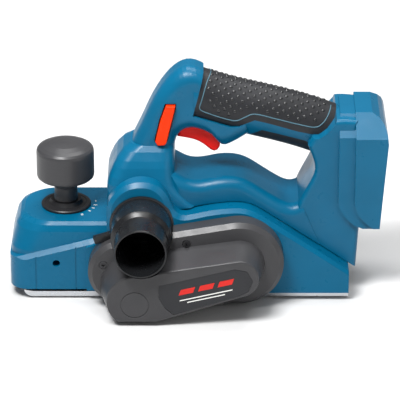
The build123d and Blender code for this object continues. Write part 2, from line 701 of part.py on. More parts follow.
@piece
def blade_clamps():
    clamp = prism([(-18.4, DRUM_Z - 0.1), (-9.2, DRUM_Z - 0.1), (-9.2, DRUM_Z + 7.2),
                   (-12.8, DRUM_Z + 7.2), (-17.0, DRUM_Z + 6.0)],
                  -CUT_HALF + 0.5, CUT_HALF - 0.5)
    for y in CLAMP_SCREW_YS:
        clamp -= clamp_cylinder(-15.5, y, 2.3, 14)
    return clamp + half_turn(clamp)


@piece
def blade_screws():
    screws = join([clamp_cylinder(-14.0, y, 2.2, 7.0) - clamp_cylinder(-17.0, y, 1.1, 2.4)
                   for y in CLAMP_SCREW_YS])
    return screws + half_turn(screws)


@piece
def drum_shaft():
    return (rod_y(*DRUM, SHAFT_R, -42.8, 41.6) + rod_y(*DRUM, 5.0, -84.0, -42.8)
            + rod_y(*DRUM, 4.0, 41.6, 50.0))


# drum bearings: belt side 10 x 26 x 8, rebate side 8 x 22 x 7
@piece
def drum_bearing_inner_races():
    return ring_y(*DRUM, 7.4, 5.0, -53.8, -45.9) + ring_y(*DRUM, 5.9, 4.0, 43.4, 50.0)


@piece
def drum_bearing_balls():
    balls = []
    for i in range(8):
        angle = 2 * math.pi * i / 8
        for circle_r, y, ball_r in ((9.0, -49.85, 1.5), (7.45, 46.85, 1.45)):
            balls.append(Pos(circle_r * math.cos(angle), y,
                             DRUM_Z + circle_r * math.sin(angle)) * Sphere(ball_r))
    return join(balls)


@piece
def bearing_outer_races():
    """Outer races of the two drum bearings and the two motor bearings."""
    drum_races = ring_y(*DRUM, 12.98, 10.6, -53.8, -45.9) + ring_y(*DRUM, 10.98, 9.0, 43.4, 50.3)
    return (drum_races + ring_y(*MOTOR, 11.15, 9.0, -50.0, -43.05)
            + ring_y(*MOTOR, 8.0, 6.5, 36.2, 40.8))


# ------------------------------------------------------------------ belt drive
def ribbed_pulley(x, z, radius, bore, grooves=7, groove_depth=1.2):
    y0, y1 = PULLEY_Y0, PULLEY_Y1
    rim = radius + FLANGE
    points = [(bore, y0), (rim, y0), (rim, y0 + FLANGE), (radius, y0 + FLANGE)]
    pitch = (y1 - y0 - 2 * FLANGE) / grooves
    for i in range(grooves):
        y = y0 + FLANGE + i * pitch
        points += [(radius - groove_depth, y + pitch * 0.5), (radius, y + pitch)]
    points += [(rim, y1 - FLANGE), (rim, y1), (bore, y1)]
    return revolve_y(points, x, z)


@piece
def drum_pulley():
    return ribbed_pulley(*DRUM, DRUM_PULLEY_R, bore=5.0)


@piece
def motor_pulley():
    return ribbed_pulley(*MOTOR, MOTOR_PULLEY_R, bore=4.0)


@piece
def drum_pulley_nut():
    hexagon = plane_y(-82.1) * Pos(*DRUM) * RegularPolygon(8.0, 6)
    return extrude(hexagon, 5.2) - rod_y(*DRUM, 5.0, -84.0, -80)


@piece
def drive_belt():
    """A band round both pulleys, with running clearance."""
    outside, inside = 1.5, 0.12
    return (obround_prism(DRUM, DRUM_PULLEY_R + outside, MOTOR, MOTOR_PULLEY_R + outside,
                          PULLEY_Y0 + 1.8, PULLEY_Y1 - 1.8)
            - obround_prism(DRUM, DRUM_PULLEY_R + inside, MOTOR, MOTOR_PULLEY_R + inside,
                            PULLEY_Y0, PULLEY_Y1))


# ------------------------------------------------------------------ motor
AXLE_R = 4.0            # rotor shaft


def motor_hole(degrees, circle_r, y, radius, length):
    """Y-parallel cylinder on a circle round the motor's axis."""
    angle = math.radians(degrees)
    return (Pos(MOT_X + circle_r * math.cos(angle), y, MOT_Z + circle_r * math.sin(angle))
            * Rot(90, 0, 0) * Cylinder(radius, length))


def motor_spoke(degrees, circle_r, y, *size):
    """Box on a circle round the motor's axis, turned to face it."""
    return Pos(MOT_X, y, MOT_Z) * Rot(0, degrees, 0) * Pos(0, 0, circle_r) * Box(*size)


@piece
def motor_can():
    can = ring_y(*MOTOR, CAN_R, CAN_R - 1.8, -42.5, 26.0)
    can += ring_y(*MOTOR, CAN_R, 9.0, -44.0, -42.5) - rod_y(*MOTOR, 11.2, -50, -43.0)
    for degrees in range(0, 360, 45):
        can -= motor_hole(degrees, 15.5, -43.2, 3.0, 4)
    return main_solid(can)


@piece
def motor_magnets():
    magnets = ring_y(*MOTOR, CAN_R - 1.9, CAN_R - 7.0, -32, 16)
    magnets -= box(MOT_X - 40, MOT_X + 40, -50, 50, MOT_Z - 5, MOT_Z + 5)
    return magnets


@piece
def rotor_shaft():
    return rod_y(*MOTOR, AXLE_R, -84.0, 41.0)


@piece
def rotor_core():
    core = rod_y(*MOTOR, 16.4, -30, 12)
    for degrees in range(0, 360, 30):
        core -= motor_spoke(degrees, 14.0, 0, 2.6, 100, 5.6)
    core -= rod_y(*MOTOR, AXLE_R, -60, 60)
    return main_solid(core)


@piece
def rotor_windings():
    # radius, y
    windings = revolve_y([(6.0, -38), (13.0, -38), (15.2, -35.0), (15.2, -30.1), (6.0, -30.1)],
                         *MOTOR)
    windings += revolve_y([(6.0, 12.1), (15.2, 12.1), (15.2, 16.0), (13.0, 19), (6.0, 19)],
                          *MOTOR)
    return windings


@piece
def commutator():
    ring = ring_y(*MOTOR, 9.6, AXLE_R, 20.5, 33.0)
    for degrees in range(0, 360, 30):
        ring -= motor_spoke(degrees, 9.6, 26.75, 0.5, 14, 1.6)
    return main_solid(ring)


def brush_box(side, near, far, y0, y1, half_height):
    """Box beside the motor's axis, centred on its height."""
    return box(*span(side, near, far, MOT_X), y0, y1, MOT_Z - half_height, MOT_Z + half_height)


@piece
def motor_end_bell():
    bell = (ring_y(*MOTOR, CAN_R, CAN_R - 2.5, 26.1, 38.0)
            + ring_y(*MOTOR, CAN_R, 8.02, 36.0, 41.0))
    bell -= rod_y(*MOTOR, 8.02, 34, 50)
    for degrees in range(20, 380, 45):
        bell -= motor_hole(degrees, 16, 38, 3.4, 8)
    holders = join([brush_box(side, 11.5, 20.5, 23.0, 31.5, 4.5)
                    - brush_box(side, 10, 25, 24.5, 30.0, 3.0) for side in (-1, 1)])
    holders += join([brush_box(side, 17.0, 20.5, 31.0, 36.5, 4.5) for side in (-1, 1)])
    bell += holders - box(MOT_X - 18.3, MOT_X + 18.3, 24.5, 30.0, MOT_Z - 3.0, MOT_Z + 3.0)
    return main_solid(bell)


@piece
def carbon_brushes():
    return join([brush_box(side, 9.75, 18.0, 24.6, 29.9, 2.9) for side in (-1, 1)])


@piece
def motor_bearing_inner_races():
    return (ring_y(*MOTOR, 6.4, AXLE_R, -50.0, -43.05)
            + ring_y(*MOTOR, 5.3, AXLE_R, 36.2, 40.8))


@piece
def cooling_fan():
    fan = (ring_y(*MOTOR, 9.0, AXLE_R, -59.8, -52.0)
           + ring_y(*MOTOR, FAN_R - 1.5, 8.0, -53.2, -52.0))
    blades = 14
    for i in range(blades):
        fan += motor_spoke(360 / blades * i, 19.0, -56.2, 1.4, 6.4, 21.0)
    return main_solid(fan)


# ------------------------------------------------------------------ belt cover
# rim: obround from the front circle to the rear one
RIM_FRONT, RIM_FRONT_R = (-10.0, 30.6), 28.2
RIM_REAR, RIM_REAR_R = (83.5, 38.7), 36.2
RIM_WALL = 2.6
BOSS_BASE, BOSS_FACE = (0, 20), (0, 19.8)      # front circle centres of the boss
# shallow recess for the name plate
PANEL = [(19.0, 34.2), (80.0, 49.2), (90, 47.0), (94.5, 38.5), (91, 29.5), (84.0, 25.4),
         (31.0, 8.6), (24.0, 14.6), (19.0, 24.0)]


def port_tab(x0, x1, y0, y1, z0, z1):
    """Box placed relative to the chip port, then tilted 17 degrees about its axis."""
    tab = box(PORT_X + x0, PORT_X + x1, y0, y1, PORT_Z + z0, PORT_Z + z1)
    return Pos(PORT_X, 0, PORT_Z) * Rot(0, -17, 0) * Pos(-PORT_X, 0, -PORT_Z) * tab


def shrunk(points, cx, cz, inset):
    """Moves each point towards (cx, cz) by the inset."""
    out = []
    for x, z in points:
        r = math.hypot(x - cx, z - cz)
        k = max(r - inset, 1) / r
        out.append((cx + (x - cx) * k, cz + (z - cz) * k))
    return out


def cover_shell():
    rim = obround_prism(RIM_FRONT, RIM_FRONT_R, RIM_REAR, RIM_REAR_R, COVER_Y1, COVER_Y0)
    rim = chamfer(edges_at(rim, COVER_Y1), 3.6)
    boss = loft([obround(BOSS_BASE, 28.6, MOTOR, 20.8, COVER_Y1 + 0.5),
                 obround(BOSS_FACE, 22.4, MOTOR, 15.6, COVER_Y2)], ruled=True)
    boss = fillet(edges_at(boss, COVER_Y2), 1.5)
    boss = boss & box(-80, 160, -120, 0, 2.6, 120)      # flat underside
    cover = rim + boss
    cavity = loft([obround(BOSS_BASE, 25.8, MOTOR, 18.0, COVER_Y1 + 3),
                   obround(BOSS_FACE, 19.8, MOTOR, 13.2, COVER_Y2 + 2.8)], ruled=True)
    cover -= cavity & box(-80, 160, -120, 0, 4.7, 120)
    cover -= obround_prism(RIM_FRONT, RIM_FRONT_R - RIM_WALL, RIM_REAR, RIM_REAR_R - RIM_WALL,
                           COVER_Y1 + RIM_WALL, COVER_Y0 + 5)
    return cover


@piece
def belt_cover():
    cover = cover_shell()
    # screw posts with head seats
    for x, z in COVER_SCREWS:
        cover += rod_y(x, z, 5.0, COVER_Y1 + RIM_WALL, COVER_Y0)
        cover -= rod_y(x, z, 1.9, -70, -40)
        cover -= rod_y(x, z, 3.6, -70, COVER_Y1 + 2.2)
    cover -= rod_y(*PORT, COLLAR_R + 0.9, -120, -40)            # saddle for the chip outlet
    cover -= port_tab(-41.0, -20, -52.4, -40, -3.5, 4.1)        # room for the ejector's tab
    cover -= prism(PANEL, -100, COVER_Y2 + 0.6)
    cover -= ring_y(0, 17.5, 11.4, 10.8, -100, COVER_Y2 + 0.4)  # circular line on the boss face
    return main_solid(cover)


@piece
def name_plate():
    return prism(shrunk(PANEL, 58, 29, 0.5), COVER_Y2 + 0.15, COVER_Y2 + 0.58)


@piece
def belt_cover_screws():
    screws = []
    for x, z in COVER_SCREWS:
        socket = extrude(plane_y(COVER_Y1 + 1.6) * Pos(x, z) * RegularPolygon(1.5, 6), 3)
        screw = rod_y(x, z, 3.3, COVER_Y1 + 0.3, COVER_Y1 + 2.2) - socket
        screws.append(screw + rod_y(x, z, 1.7, COVER_Y1 + 2.2, -39))
    return join(screws)


# ------------------------------------------------------------------ chip duct and ejector
@piece
def chip_duct():
    duct = ring_y(*PORT, 25.8, 23.2, -45.6, 42.6)
    duct -= prism([(-21, 30), (-17, 62), (-12, 66), (20, 66), (22, 60), (16, 36)], -37.5, 37.5)
    duct -= rod_y(*DRUM, 21.6, -41.45, 41.45)
    return main_solid(duct)


@piece
def chip_ejector():
    # radius, y
    tube = revolve_y([
        (TUBE_BORE, EJECTOR_MOUTH_Y), (TUBE_R - 0.3, EJECTOR_MOUTH_Y),
        (TUBE_R, EJECTOR_MOUTH_Y + 0.6), (TUBE_R + 0.35, -74.5), (COLLAR_R - 0.8, -72.2),
        (COLLAR_R, -71.2), (COLLAR_R, -46.6), (23.12, -46.2), (23.12, -32.0),
        (TUBE_BORE + 1.0, -32.0), (TUBE_BORE, -40.0)], *PORT)
    tube += port_tab(-40.0, -COLLAR_R + 0.6, -51.6, -46.8, -2.7, 3.3)
    return tube


@piece
def duct_cap():
    cap = rod_y(*PORT, 24.6, 42.8, 46.0) + ring_y(*PORT, 23.1, 20.8, 30.0, 42.8)
    for z0, z1 in ((-12, -4), (4, 12)):                 # finger recesses
        cap -= box(PORT_X - 14, PORT_X + 14, 44.6, 50, PORT_Z + z0, PORT_Z + z1)
    return cap


# ------------------------------------------------------------------ rebate side
COVER_HEAD_Y = 50.4     # seat of the bearing cover's screw heads


@piece
def bearing_cover():
    outline = [(-36, 31), (-31, 43), (-22, 46), (22, 46), (31, 43), (36, 33), (33, 12),
               (26, 9.3), (-20, 9.3), (-33, 20)]
    cover = pillow(outline, 43.1, 52.6, 2.0, ends=(52.6,))
    cover -= rod_y(*DRUM, 11.0, 43.3, 50.6)
    cover -= rod_y(*DRUM, 8.6, 40, 50.6)
    cover += ring_y(*DRUM, 12.5, 9.0, 41.7, 43.4)
    for x, z in BEARING_SCREWS:
        cover -= rod_y(x, z, 1.8, 40, 60)
        cover -= rod_y(x, z, 3.3, COVER_HEAD_Y, 60)
    cover -= rod_y(*PORT, 25.4, 40, 60)
    return main_solid(cover)


@piece
def bearing_cover_screws():
    return join([rod_y(x, z, 3.1, COVER_HEAD_Y, 52.2) - rod_y(x, z, 1.3, 51.0, 54)
                 + rod_y(x, z, 1.55, 33, COVER_HEAD_Y) for x, z in BEARING_SCREWS])


@piece
def motor_end_cover():
    cover = rod_y(*MOTOR, 29.0, 43.1, 45.6)
    cover -= rod_y(*MOTOR, 22.0, 42, 43.9)
    for i in range(-4, 5):                              # cooling slots, longest in the middle
        x = MOT_X + i * 4.4
        half = 17 * math.cos(math.radians(i * 15))
        cover -= box(x - 1.2, x + 1.2, 40, 60, MOT_Z - half, MOT_Z + half)
    cover += box(MOT_X - 21, MOT_X + 21, 43.95, 45.0, MOT_Z - 1.4, MOT_Z + 1.4)
    return main_solid(cover)


# ------------------------------------------------------------------ trigger, switch, lock-off
@piece
def trigger():
    outline = [(33.9, 127.4), (35.6, 133.5), (37.0, 140.6), (39.0, 144.0), (43.0, 145.0),
               (50, 144.6), (62, 141.0), (68.4, 135.5), (68.9, 124.6), (68.3, 118.4),
               (66.4, 115.4), (63.7, 114.4), (60.8, 115.6), (55.4, 120.3), (51.5, 122.9),
               (47.1, 124.8), (41, 126.2)]
    body = pillow(outline, -8.2, 8.2, 2.0)
    body -= rod_y(*TRIGGER_PIN, 1.55, -20, 20)
    # room for the spring, open above
    body -= rod_y(*TRIGGER_PIN, 4.2, -3.0, 3.0)
    body -= box(36, PIN_X + 3.2, -3.0, 3.0, PIN_Z, 148)
    return main_solid(body)


@piece
def trigger_pin():
    return rod_y(*TRIGGER_PIN, 1.5, -11.0, 11.0)


@piece
def trigger_spring():
    return coil(Pos(PIN_X, 2.3, PIN_Z) * Rot(90, 0, 0), pitch=1.0, height=4.6, radius=2.5,
                wire_r=0.4)


@piece
def switch_body():
    body = box(38, 74, -11.6, 11.6, 151.5, 162.0) + box(38, 74, -9.6, 9.6, 162.0, 166.0)
    ear = [(38.2, 138.2), (44.8, 138.2), (46.4, 152.5), (38.2, 152.5)]
    body += prism(ear, -11.0, -8.9) + prism(ear, 8.9, 11.0)
    body -= rod_y(*TRIGGER_PIN, 1.5, -20, 20)
    return main_solid(body)


@piece
def lock_off_button():
    outline = [(25.0, 159.6), (32.4, 159.6), (32.0, 156.4), (25.2, 127.6), (23.6, 125.6),
               (18.2, 125.2), (16.2, 128.4), (20.4, 146.6)]
    return pillow(outline, -22.0, 22.0, 1.0)


@piece
def lock_off_spring():
    return prism([(33.6, 148.6), (34.1, 148.6), (35.2, 153), (34.1, 157.4), (33.6, 157.4),
                  (34.7, 153)], -7, 7)


# ------------------------------------------------------------------ parking foot
@piece
def parking_foot():
    outline = [(149.2, 8.0), (150.3, 12.2), (153.2, 13.9), (156.5, 12.6), (159, 9.2),
               (170.0, 6.0), (171.8, 3.6), (171.0, 0.9), (166, 0.9), (152.2, 3.4)]
    foot = pillow(outline, -8.0, 8.0, 0.6)
    foot -= rod_y(*FOOT_PIN, 1.55, -20, 20)
    foot -= rod_y(*FOOT_PIN, 3.4, -2.6, 2.6)            # room for the spring
    return main_solid(foot)


@piece
def foot_spring():
    return coil(Pos(FOOT_X, 2.0, FOOT_Z) * Rot(90, 0, 0), pitch=0.9, height=4.0, radius=2.2,
                wire_r=0.35)


@piece
def foot_pin():
    return rod_y(*FOOT_PIN, 1.5, -12.5, 12.5)


# ------------------------------------------------------------------ battery interface, board
@piece
def terminal_block():
    block = box(185.1, 188.7, -22, 22, 88, 126) + box(188.7, 196.0, -14, 14, 96, 118)
    for y in CONTACT_YS:
        block -= box(188.6, 200, y - 1.4, y + 1.4, 93, 115.5)
    return block


@piece
def battery_contacts():
    return join([box(188.75, 195.0, y - 0.5, y + 0.5, 97, 115.0) for y in CONTACT_YS])


@piece
def control_board():
    board_top = 87.6
    board = box(150.5, 168.0, -15, 15, 86.0, board_top)
    for x in (154, 160, 165):
        board += box(x - 2, x + 2, -6, 6, board_top, 90.5)
    return board
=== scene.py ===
"""Looks for a cordless hand planer, built round its CAD frame.

The row frame is in metres: +Z up, +X to the rear, -Y the belt side.
Tables and places marked mm are measured from the drum axis; place() turns them into the row frame.
"""
import bpy
import bmesh
import json
import math
from mathutils import Matrix, Vector
from mathutils.bvhtree import BVHTree


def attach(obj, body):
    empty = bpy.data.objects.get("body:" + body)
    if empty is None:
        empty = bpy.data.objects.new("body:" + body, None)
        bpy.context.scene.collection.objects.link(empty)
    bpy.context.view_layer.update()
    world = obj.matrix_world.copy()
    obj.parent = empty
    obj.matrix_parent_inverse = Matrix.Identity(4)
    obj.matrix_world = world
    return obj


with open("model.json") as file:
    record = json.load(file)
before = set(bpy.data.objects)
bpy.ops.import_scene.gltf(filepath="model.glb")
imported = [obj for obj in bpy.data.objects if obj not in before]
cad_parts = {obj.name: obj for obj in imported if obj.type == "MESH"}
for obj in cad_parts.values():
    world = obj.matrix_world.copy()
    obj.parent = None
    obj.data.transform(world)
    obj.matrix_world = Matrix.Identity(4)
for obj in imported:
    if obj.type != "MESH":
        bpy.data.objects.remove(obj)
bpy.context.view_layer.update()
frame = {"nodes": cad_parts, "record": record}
cad_nodes = frame["nodes"]

DRUM_X = -94.3                  # mm, the drum axis in the row frame


def place(x, y, z):
    """A point in mm from the drum axis, as metres in the row frame."""
    return Vector(((x + DRUM_X) / 1000, y / 1000, z / 1000))


# ------------------------------------------------------------------ materials
MOTTLING_SCALE = 28.0           # noise scale of the broad colour variation
ROUGH_MOTTLING_SCALE = MOTTLING_SCALE * 3.1
ROUGH_SPREAD = 0.12             # roughness wanders this far either side of its value
BUMP_DISTANCE = 0.0002
SCRATCH_STRETCH = (30, 900, 900)  # draws the scratch noise out along X


def linear_colour(rgb, gain=1):
    """Linear RGBA of an 8-bit sRGB colour, brightened by gain."""
    def to_linear(value):
        value = value / 255
        return value / 12.92 if value <= 0.04045 else ((value + 0.055) / 1.055) ** 2.4
    return (*(to_linear(value) * gain for value in rgb), 1.0)


def surface(name, rgb, rough, grain, bump, var, metal=0.0, spec=0.3, wave=False,
            stretch=(1, 1, 1), scratch=0.0):
    """Procedural surface with uneven colour and roughness and a fine grain.

    grain is the scale of the fine texture, bump its strength, and wave makes it bands, not noise.
    var is the colour variation, stretch scales the texture space, scratch brightens fine lines.
    """
    material = bpy.data.materials.new(name)
    material.use_nodes = True
    tree = material.node_tree
    tree.nodes.clear()
    link = tree.links.new

    def add(kind, source=None, **values):
        """Add a node fed by source, with its input values (underscores stand for spaces)."""
        node = tree.nodes.new("ShaderNode" + kind)
        for label, value in values.items():
            node.inputs[label.replace("_", " ")].default_value = value
        if source:
            link(source, node.inputs[0])
        return node

    def add_ramp(source, low, high, low_colour, high_colour):
        ramp = add("ValToRGB", source)
        first, last = ramp.color_ramp.elements
        first.position = low
        last.position = high
        first.color = low_colour
        last.color = high_colour
        return ramp.outputs[0]

    output = add("OutputMaterial")
    shader = add("BsdfPrincipled", Metallic=metal, Specular_IOR_Level=spec)
    link(shader.outputs[0], output.inputs[0])
    coords = add("TexCoord").outputs["Object"]
    stretched = add("Mapping", coords, Scale=stretch).outputs[0]

    broad = add("TexNoise", stretched, Scale=MOTTLING_SCALE, Detail=5)
    colour = add_ramp(broad.outputs[0], 0.3, 0.72,
                      linear_colour(rgb, 1 - var), linear_colour(rgb, 1 + var))
    if scratch:
        drawn_out = add("Mapping", coords, Scale=SCRATCH_STRETCH)
        lines = add("TexNoise", drawn_out.outputs[0], Scale=1.0, Detail=3)
        line_colour = add_ramp(lines.outputs[0], 0.62, 0.78,
                               (0, 0, 0, 1), (scratch, scratch, scratch, 1))
        mix = add("MixRGB", Fac=1.0)
        mix.blend_type = "ADD"
        link(colour, mix.inputs["Color1"])
        link(line_colour, mix.inputs["Color2"])
        colour = mix.outputs[0]
    link(colour, shader.inputs["Base Color"])

    if wave:
        fine = add("TexWave", stretched, Scale=grain, Distortion=1.5, Detail=3)
        fine.bands_direction = "Y"
    else:
        fine = add("TexNoise", stretched, Scale=grain, Detail=4)
    relief = add("Bump", Strength=bump, Distance=BUMP_DISTANCE)
    link(fine.outputs[0], relief.inputs["Height"])
    link(relief.outputs[0], shader.inputs["Normal"])

    rough_noise = add("TexNoise", coords, Scale=ROUGH_MOTTLING_SCALE, Detail=6)
    rough_range = add("MapRange", rough_noise.outputs[0],
                      To_Min=rough - ROUGH_SPREAD, To_Max=rough + ROUGH_SPREAD)
    link(rough_range.outputs[0], shader.inputs["Roughness"])
    return material


BLUE = (0, 90, 124)
LOOKS = {
    "blue_cast": dict(rgb=BLUE, rough=0.30, grain=1400, bump=0.12, var=0.06, spec=0.18),
    "blue_shell": dict(rgb=BLUE, rough=0.32, grain=1900, bump=0.16, var=0.06, spec=0.24),
    "black_plastic": dict(rgb=(58, 58, 60), rough=0.33, grain=1700, bump=0.2, var=0.12),
    "gloss_black": dict(rgb=(26, 27, 29), rough=0.28, grain=1500, bump=0.08, var=0.10),
    "soft_grip": dict(rgb=(36, 37, 40), rough=0.45, grain=2600, bump=0.3, var=0.16),
    "plate": dict(rgb=(40, 41, 44), rough=0.5, grain=2200, bump=0.1, var=0.08),
    "red": dict(rgb=(224, 14, 4), rough=0.36, grain=1500, bump=0.08, var=0.08, spec=0.18),
    "orange": dict(rgb=(236, 52, 0), rough=0.38, grain=1500, bump=0.08, var=0.06, spec=0.15),
    "sole": dict(rgb=(205, 207, 210), rough=0.30, grain=520, bump=0.3, var=0.07, metal=1.0,
                 wave=True, stretch=(0.15, 1, 1), scratch=0.12),
    "cast_alu": dict(rgb=(178, 180, 184), rough=0.38, grain=900, bump=0.3, var=0.10, metal=1.0),
    "steel": dict(rgb=(190, 190, 192), rough=0.26, grain=800, bump=0.15, var=0.08, metal=1.0,
                  wave=True),
    "dark_steel": dict(rgb=(70, 70, 72), rough=0.4, grain=900, bump=0.2, var=0.12, metal=1.0),
    "magnet": dict(rgb=(60, 58, 56), rough=0.7, grain=1200, bump=0.5, var=0.15),
    "copper": dict(rgb=(184, 104, 56), rough=0.35, grain=700, bump=0.8, var=0.15, metal=0.9,
                   wave=True),
    "brass": dict(rgb=(198, 160, 88), rough=0.32, grain=900, bump=0.2, var=0.10, metal=1.0),
    "carbon": dict(rgb=(34, 34, 35), rough=0.6, grain=1500, bump=0.4, var=0.15),
    "belt": dict(rgb=(26, 26, 26), rough=0.7, grain=420, bump=0.6, var=0.15, wave=True),
    "wire": dict(rgb=(160, 30, 26), rough=0.4, grain=900, bump=0.1, var=0.1),
    "board": dict(rgb=(24, 84, 44), rough=0.35, grain=600, bump=0.3, var=0.2),
    "dial": dict(rgb=(34, 34, 36), rough=0.38, grain=1500, bump=0.1, var=0.10),
    "mark": dict(rgb=(232, 232, 228), rough=0.5, grain=1500, bump=0.1, var=0.05),
    "pip": dict(rgb=(30, 31, 33), rough=0.20, grain=2600, bump=0.06, var=0.12, spec=0.6),
    # light blue-grey painted highlight for the groove's edge on the black grip; not the rubber's
    # own colour
    "groove_highlight": dict(rgb=(74, 108, 122), rough=0.5, grain=1500, bump=0.1, var=0.08),
    "stripe_red": dict(rgb=(206, 34, 26), rough=0.42, grain=1500, bump=0.1, var=0.06),
}
materials = {name: surface(name, **look) for name, look in LOOKS.items()}

slot_of = {part["node"]: part["material_slot"] for part in frame["record"]["subparts"]}
for name, node in cad_nodes.items():
    node.data.materials.clear()
    node.data.materials.append(materials.get(slot_of.get(name, ""), materials["black_plastic"]))


# ------------------------------------------------------------------ mesh helpers
def mesh_object(name, bm, material, smooth=True):
    """Turn bm into a scene object and free it."""
    mesh = bpy.data.meshes.new(name)
    bmesh.ops.recalc_face_normals(bm, faces=bm.faces)
    bm.to_mesh(mesh)
    bm.free()
    for polygon in mesh.polygons:
        polygon.use_smooth = smooth
    obj = bpy.data.objects.new(name, mesh)
    bpy.context.scene.collection.objects.link(obj)
    mesh.materials.append(material)
    return obj


def add_detail(name, bm, material, smooth=True):
    """A mesh object that fills a material slot and rides on the frame."""
    obj = mesh_object(name, bm, materials[material], smooth)
    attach(obj, "frame")


def tree_of(node):
    mesh = cad_nodes[node].data
    return BVHTree.FromPolygons([v.co.copy() for v in mesh.vertices],
                                [tuple(p.vertices) for p in mesh.polygons])


def inside(outline, x, z):
    """Whether (x, z) lies within the closed outline."""
    hit = False
    for i, (xi, zi) in enumerate(outline):
        xj, zj = outline[i - 1]
        if (zi > z) != (zj > z) and x < (xj - xi) * (z - zi) / (zj - zi) + xi:
            hit = not hit
    return hit


def circle(bm, centre, across, up, radius, count):
    """A ring of count vertices round centre, in the plane of across and up."""
    ring = []
    for i in range(count):
        angle = 2 * math.pi * i / count
        ring.append(bm.verts.new(
            centre + (across * math.cos(angle) + up * math.sin(angle)) * radius))
    return ring


def bridge(bm, lower, upper):
    """Quads between two rings of equal count."""
    for i in range(len(lower)):
        j = (i + 1) % len(lower)
        bm.faces.new((lower[i], lower[j], upper[j], upper[i]))


def dome(bm, foot, normal, radius, height, sink, rings=3, segments=10):
    """A closed low dome standing on the surface at foot, its base sunk below it."""
    across = normal.orthogonal().normalized()
    up = normal.cross(across).normalized()
    loops = []
    for k in range(rings):
        angle = (math.pi / 2) * k / rings
        loops.append(circle(bm, foot + normal * (height * math.sin(angle)), across, up,
                            radius * math.cos(angle), segments))
    apex = bm.verts.new(foot + normal * height)
    base = [bm.verts.new(v.co - normal * sink) for v in loops[0]]
    for i in range(segments):
        j = (i + 1) % segments
        bm.faces.new((base[i], base[j], loops[0][j], loops[0][i]))
        for lower, upper in zip(loops, loops[1:]):
            bm.faces.new((lower[i], lower[j], upper[j], upper[i]))
        bm.faces.new((loops[-1][i], loops[-1][j], apex))
    bm.faces.new(list(reversed(base)))


def tube(bm, points, radius, segments=8):
    """A round tube along points, capped at both ends."""
    rows = []
    for i, point in enumerate(points):
        ahead = points[min(i + 1, len(points) - 1)]
        along = (ahead - points[max(i - 1, 0)]).normalized()
        if i == 0:
            across = along.orthogonal().normalized()
        else:
            across = (across - along * across.dot(along)).normalized()
        rows.append(circle(bm, point, across, along.cross(across), radius, segments))
    for row, following in zip(rows, rows[1:]):
        bridge(bm, row, following)
    bm.faces.new(list(reversed(rows[0])))
    bm.faces.new(rows[-1])


def prism(bm, start, end):
    """A closed solid between two outlines of matching points."""
    first = [bm.verts.new(point) for point in start]
    last = [bm.verts.new(point) for point in end]
    bm.faces.new(first)
    bm.faces.new(list(reversed(last)))
    for i in range(len(first)):
        j = (i + 1) % len(first)
        bm.faces.new((first[j], first[i], last[i], last[j]))


def smooth_line(points, steps):
    """Catmull-Rom through 2-D points, with steps to each span."""
    line = []
    for i in range(len(points) - 1):
        p0 = points[max(i - 1, 0)]
        p1, p2 = points[i], points[i + 1]
        p3 = points[min(i + 2, len(points) - 1)]
        for k in range(steps):
            t = k / steps
            line.append(tuple(
                0.5 * (2 * p1[c] + (p2[c] - p0[c]) * t
                       + (2 * p0[c] - 5 * p1[c] + 4 * p2[c] - p3[c]) * t * t
                       + (3 * p1[c] - p0[c] - 3 * p2[c] + p3[c]) * t ** 3)
                for c in range(2)))
    line.append(points[-1])
    return line


# ------------------------------------------------------------------ grip pips and groove
# (x, z) in mm, front to rear: the grip's axis, the groove line and the field holding the pips
GRIP_AXIS = [
    (30, 168.9), (50, 162.2), (75, 154.3), (92.4, 150.0),
    (117.8, 143.6), (134.2, 138.8), (150, 133.2), (168, 125.8),
]
GROOVE_LINE = [
    (63.5, 184.0), (58.0, 177.6), (53.6, 164), (52.2, 156.2), (60, 152.0),
    (72, 147.8), (81, 146.0), (88, 149.2), (96.1, 152.0), (112, 148.2),
    (130, 143.4), (144.1, 140.4), (151, 143.4), (156.6, 150.8), (159.0, 157.6),
]
PIP_FIELD = [
    (66, 200), (59.6, 177.6), (56.5, 158.6), (72, 151.8), (81, 149.4),
    (88, 152.4), (96.5, 155.8), (112, 151.8), (130, 147.0), (143, 144.4),
    (149, 146.8), (153, 152.6), (155.5, 160.6), (158, 200),
]
PIP_PITCH = 8.5                 # mm along the axis
PIP_START, PIP_END = 14.0, 140  # mm along the axis
PIP_ROWS = 13
PIP_FIRST_ANGLE = -24           # degrees round the grip: 0 is level, 90 the crest
PIP_ANGLE_SPAN = 110
PIP_RADIUS = 0.00150
PIP_HEIGHT = 0.00070
PIP_SINK = 0.0005
PIP_RAY_REACH = 0.060           # rays start this far out from the axis
PIP_MIN_FACING = 0.4            # least cosine between surface normal and ray
SEAM_CLEARANCE = 0.0011         # no pips this near the middle plane
GROOVE_RADIUS = 0.00048
GROOVE_LIFT = 0.00005
GROOVE_STEPS = 6
GROOVE_RAY_Y = 60               # mm out from the middle plane


def axis_at(distance):
    """Point of the grip's axis at this arc length in mm, with its direction."""
    walked = 0
    for (x0, z0), (x1, z1) in zip(GRIP_AXIS, GRIP_AXIS[1:]):
        length = math.hypot(x1 - x0, z1 - z0)
        if walked + length >= distance:
            k = (distance - walked) / length
            return x0 + (x1 - x0) * k, z0 + (z1 - z0) * k, (x1 - x0) / length, (z1 - z0) / length
        walked += length


def add_pip(bm, tree, side, distance, angle):
    """A dome where a ray towards the grip's axis meets the grip, if that is in the field."""
    x, z, dx, dz = axis_at(distance)
    outward = Vector((-dz * math.sin(angle), side * math.cos(angle), dx * math.sin(angle)))
    hit, normal, _, _ = tree.ray_cast(place(x, 0, z) + outward * PIP_RAY_REACH, -outward)
    if hit is None:
        return
    if normal.dot(outward) < 0:
        normal = -normal
    in_field = inside(PIP_FIELD, hit.x * 1000 - DRUM_X, hit.z * 1000)
    if in_field and normal.dot(outward) >= PIP_MIN_FACING and abs(hit.y) >= SEAM_CLEARANCE:
        dome(bm, hit, normal, PIP_RADIUS, PIP_HEIGHT, PIP_SINK)


